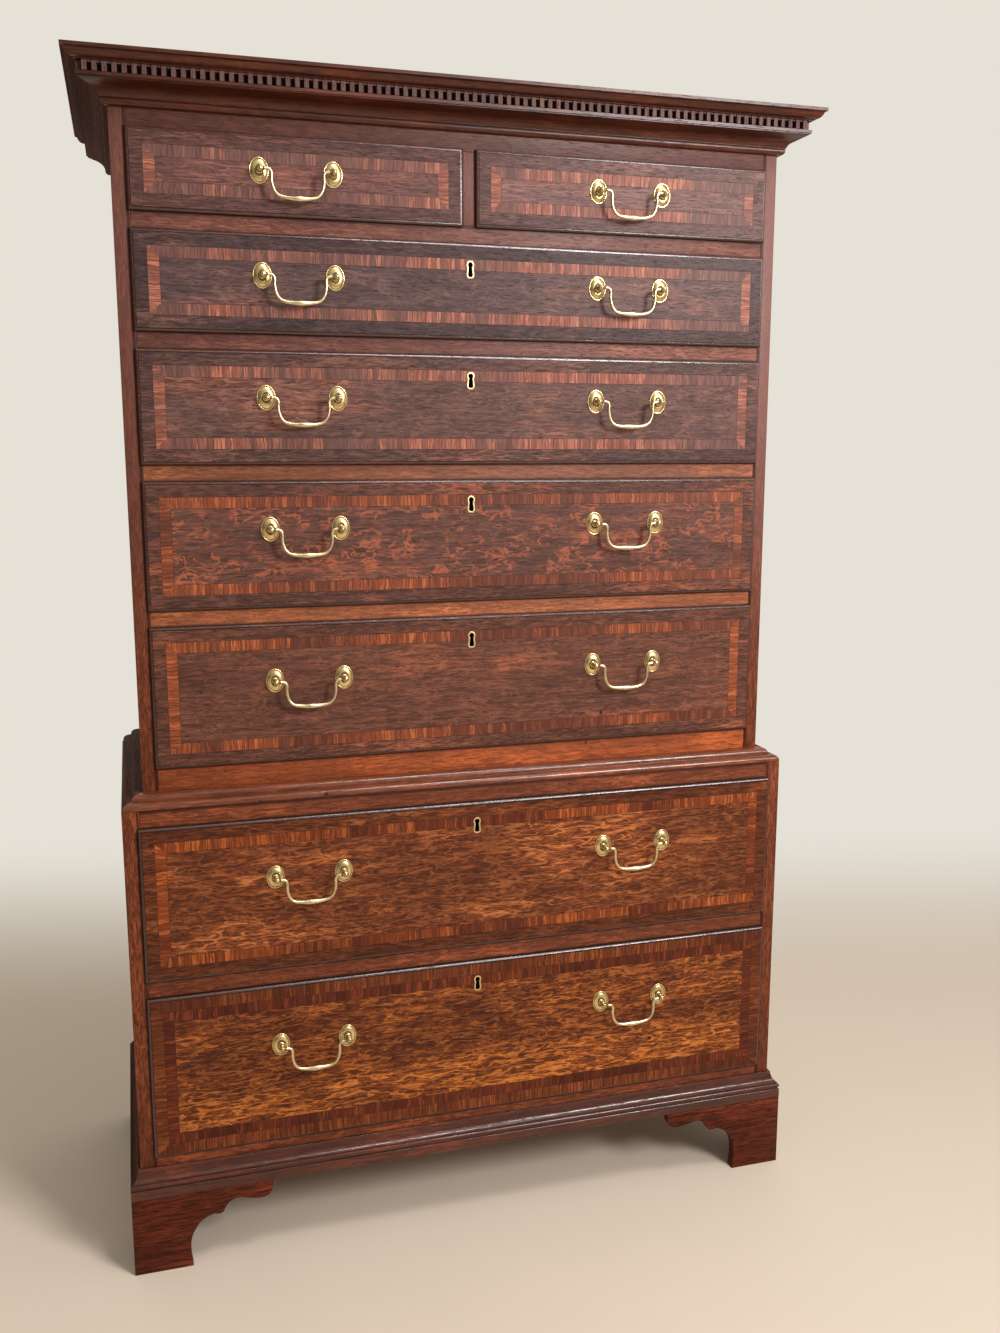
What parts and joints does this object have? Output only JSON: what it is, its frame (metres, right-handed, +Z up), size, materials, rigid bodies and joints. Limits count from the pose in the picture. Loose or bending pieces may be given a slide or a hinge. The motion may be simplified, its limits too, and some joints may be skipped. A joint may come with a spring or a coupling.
{
  "type": "chest on chest",
  "caption": "Oak chest on chest: lipped, crossbanded drawers with brass bail handles in two stacked cases, dentil cornice, moulded waist and base, bracket feet.",
  "frame": {"origin": "middle of the bounding box, on the floor under the feet", "axes": "+Z up, the drawer fronts face -Y, +X to the right of someone facing them"},
  "size_m": [1.1096, 0.4964, 1.759],
  "materials": {
    "drawer_oak": "waxed oak, crossbanded, mid sheen",
    "case_oak": "waxed oak, reddish brown, mid sheen",
    "dark_oak": "waxed oak, dark, mid sheen",
    "plain_oak": "bare oak, dry and matt",
    "brass": "old polished brass"
  },
  "bodies": {
    "case": {"lower_side_left": "case_oak", "lower_side_right": "case_oak", "lower_back_boards": "plain_oak", "lower_bottom_board": "case_oak", "lower_rail": "case_oak", "lower_top_board": "case_oak", "upper_side_left": "case_oak", "upper_side_right": "case_oak", "upper_back_boards": "plain_oak", "upper_bottom_board": "case_oak", "upper_top_board": "dark_oak", "upper_frieze_rail": "case_oak", "upper_rail_4": "case_oak", "upper_rail_3": "case_oak", "upper_rail_2": "case_oak", "upper_rail_1": "case_oak", "short_drawer_divider": "case_oak", "cornice": "dark_oak", "waist_moulding": "dark_oak", "base_moulding": "dark_oak", "foot_front_left": "case_oak", "foot_rear_left": "case_oak", "foot_front_right": "case_oak", "foot_rear_right": "case_oak"},
    "drawer_short_left": {"drawer_front_short_left": "drawer_oak", "drawer_box_short_left": "plain_oak"},
    "drawer_short_right": {"drawer_front_short_right": "drawer_oak", "drawer_box_short_right": "plain_oak"},
    "drawer_long_1": {"drawer_front_long_1": "drawer_oak", "drawer_box_long_1": "plain_oak"},
    "drawer_long_2": {"drawer_front_long_2": "drawer_oak", "drawer_box_long_2": "plain_oak"},
    "drawer_long_3": {"drawer_front_long_3": "drawer_oak", "drawer_box_long_3": "plain_oak"},
    "drawer_long_4": {"drawer_front_long_4": "drawer_oak", "drawer_box_long_4": "plain_oak"},
    "drawer_long_5": {"drawer_front_long_5": "drawer_oak", "drawer_box_long_5": "plain_oak"},
    "drawer_long_6": {"drawer_front_long_6": "drawer_oak", "drawer_box_long_6": "plain_oak"},
    "bail_long_6_left": {"bail_long_6_left": "brass"},
    "bail_long_6_right": {"bail_long_6_right": "brass"},
    "bail_long_5_left": {"bail_long_5_left": "brass"},
    "bail_long_5_right": {"bail_long_5_right": "brass"},
    "bail_long_4_left": {"bail_long_4_left": "brass"},
    "bail_long_4_right": {"bail_long_4_right": "brass"},
    "bail_long_3_left": {"bail_long_3_left": "brass"},
    "bail_long_3_right": {"bail_long_3_right": "brass"},
    "bail_long_2_left": {"bail_long_2_left": "brass"},
    "bail_long_2_right": {"bail_long_2_right": "brass"},
    "bail_long_1_left": {"bail_long_1_left": "brass"},
    "bail_long_1_right": {"bail_long_1_right": "brass"},
    "bail_short_left": {"bail_short_left": "brass"},
    "bail_short_right": {"bail_short_right": "brass"},
    "lock_bolt_long_1": {"lock_bolt_long_1": "brass"},
    "lock_bolt_long_2": {"lock_bolt_long_2": "brass"},
    "lock_bolt_long_3": {"lock_bolt_long_3": "brass"},
    "lock_bolt_long_4": {"lock_bolt_long_4": "brass"},
    "lock_bolt_long_5": {"lock_bolt_long_5": "brass"},
    "lock_bolt_long_6": {"lock_bolt_long_6": "brass"}
  },
  "joints": [
    {"name": "drawer_short_left_slide", "type": "slide", "parent": "case", "child": "drawer_short_left", "axis": [0, -1, 0], "range_m": [0, 0.3]},
    {"name": "drawer_short_right_slide", "type": "slide", "parent": "case", "child": "drawer_short_right", "axis": [0, -1, 0], "range_m": [0, 0.3]},
    {"name": "drawer_long_1_slide", "type": "slide", "parent": "case", "child": "drawer_long_1", "axis": [0, -1, 0], "range_m": [0, 0.3]},
    {"name": "drawer_long_2_slide", "type": "slide", "parent": "case", "child": "drawer_long_2", "axis": [0, -1, 0], "range_m": [0, 0.3]},
    {"name": "drawer_long_3_slide", "type": "slide", "parent": "case", "child": "drawer_long_3", "axis": [0, -1, 0], "range_m": [0, 0.3]},
    {"name": "drawer_long_4_slide", "type": "slide", "parent": "case", "child": "drawer_long_4", "axis": [0, -1, 0], "range_m": [0, 0.3]},
    {"name": "drawer_long_5_slide", "type": "slide", "parent": "case", "child": "drawer_long_5", "axis": [0, -1, 0], "range_m": [0, 0.3]},
    {"name": "drawer_long_6_slide", "type": "slide", "parent": "case", "child": "drawer_long_6", "axis": [0, -1, 0], "range_m": [0, 0.3]},
    {"name": "bail_long_6_left_hinge", "type": "hinge", "parent": "drawer_long_6", "child": "bail_long_6_left", "pos_m": [-0.263, -0.24385, 0.34238], "axis": [-1, 0, 0], "range_deg": [-18, 198]},
    {"name": "bail_long_6_right_hinge", "type": "hinge", "parent": "drawer_long_6", "child": "bail_long_6_right", "pos_m": [0.263, -0.24385, 0.34238], "axis": [-1, 0, 0], "range_deg": [-18, 198]},
    {"name": "bail_long_5_left_hinge", "type": "hinge", "parent": "drawer_long_5", "child": "bail_long_5_left", "pos_m": [-0.263, -0.24385, 0.61191], "axis": [-1, 0, 0], "range_deg": [-18, 198]},
    {"name": "bail_long_5_right_hinge", "type": "hinge", "parent": "drawer_long_5", "child": "bail_long_5_right", "pos_m": [0.263, -0.24385, 0.61191], "axis": [-1, 0, 0], "range_deg": [-18, 198]},
    {"name": "bail_long_4_left_hinge", "type": "hinge", "parent": "drawer_long_4", "child": "bail_long_4_left", "pos_m": [-0.2515, -0.21585, 0.90679], "axis": [-1, 0, 0], "range_deg": [-18, 198]},
    {"name": "bail_long_4_right_hinge", "type": "hinge", "parent": "drawer_long_4", "child": "bail_long_4_right", "pos_m": [0.2515, -0.21585, 0.90679], "axis": [-1, 0, 0], "range_deg": [-18, 198]},
    {"name": "bail_long_3_left_hinge", "type": "hinge", "parent": "drawer_long_3", "child": "bail_long_3_left", "pos_m": [-0.2515, -0.21585, 1.13077], "axis": [-1, 0, 0], "range_deg": [-18, 198]},
    {"name": "bail_long_3_right_hinge", "type": "hinge", "parent": "drawer_long_3", "child": "bail_long_3_right", "pos_m": [0.2515, -0.21585, 1.13077], "axis": [-1, 0, 0], "range_deg": [-18, 198]},
    {"name": "bail_long_2_left_hinge", "type": "hinge", "parent": "drawer_long_2", "child": "bail_long_2_left", "pos_m": [-0.2515, -0.21585, 1.31763], "axis": [-1, 0, 0], "range_deg": [-18, 198]},
    {"name": "bail_long_2_right_hinge", "type": "hinge", "parent": "drawer_long_2", "child": "bail_long_2_right", "pos_m": [0.2515, -0.21585, 1.31763], "axis": [-1, 0, 0], "range_deg": [-18, 198]},
    {"name": "bail_long_1_left_hinge", "type": "hinge", "parent": "drawer_long_1", "child": "bail_long_1_left", "pos_m": [-0.2515, -0.21585, 1.48573], "axis": [-1, 0, 0], "range_deg": [-18, 198]},
    {"name": "bail_long_1_right_hinge", "type": "hinge", "parent": "drawer_long_1", "child": "bail_long_1_right", "pos_m": [0.2515, -0.21585, 1.48573], "axis": [-1, 0, 0], "range_deg": [-18, 198]},
    {"name": "bail_short_left_hinge", "type": "hinge", "parent": "drawer_short_left", "child": "bail_short_left", "pos_m": [-0.2515, -0.21585, 1.6257], "axis": [-1, 0, 0], "range_deg": [-18, 198]},
    {"name": "bail_short_right_hinge", "type": "hinge", "parent": "drawer_short_right", "child": "bail_short_right", "pos_m": [0.2515, -0.21585, 1.6257], "axis": [-1, 0, 0], "range_deg": [-18, 198]},
    {"name": "lock_bolt_long_1_slide", "type": "slide", "parent": "drawer_long_1", "child": "lock_bolt_long_1", "axis": [0, 0, 1], "range_m": [0, 0.008]},
    {"name": "lock_bolt_long_2_slide", "type": "slide", "parent": "drawer_long_2", "child": "lock_bolt_long_2", "axis": [0, 0, 1], "range_m": [0, 0.008]},
    {"name": "lock_bolt_long_3_slide", "type": "slide", "parent": "drawer_long_3", "child": "lock_bolt_long_3", "axis": [0, 0, 1], "range_m": [0, 0.008]},
    {"name": "lock_bolt_long_4_slide", "type": "slide", "parent": "drawer_long_4", "child": "lock_bolt_long_4", "axis": [0, 0, 1], "range_m": [0, 0.008]},
    {"name": "lock_bolt_long_5_slide", "type": "slide", "parent": "drawer_long_5", "child": "lock_bolt_long_5", "axis": [0, 0, 1], "range_m": [0, 0.008]},
    {"name": "lock_bolt_long_6_slide", "type": "slide", "parent": "drawer_long_6", "child": "lock_bolt_long_6", "axis": [0, 0, 1], "range_m": [0, 0.008]}
  ]
}
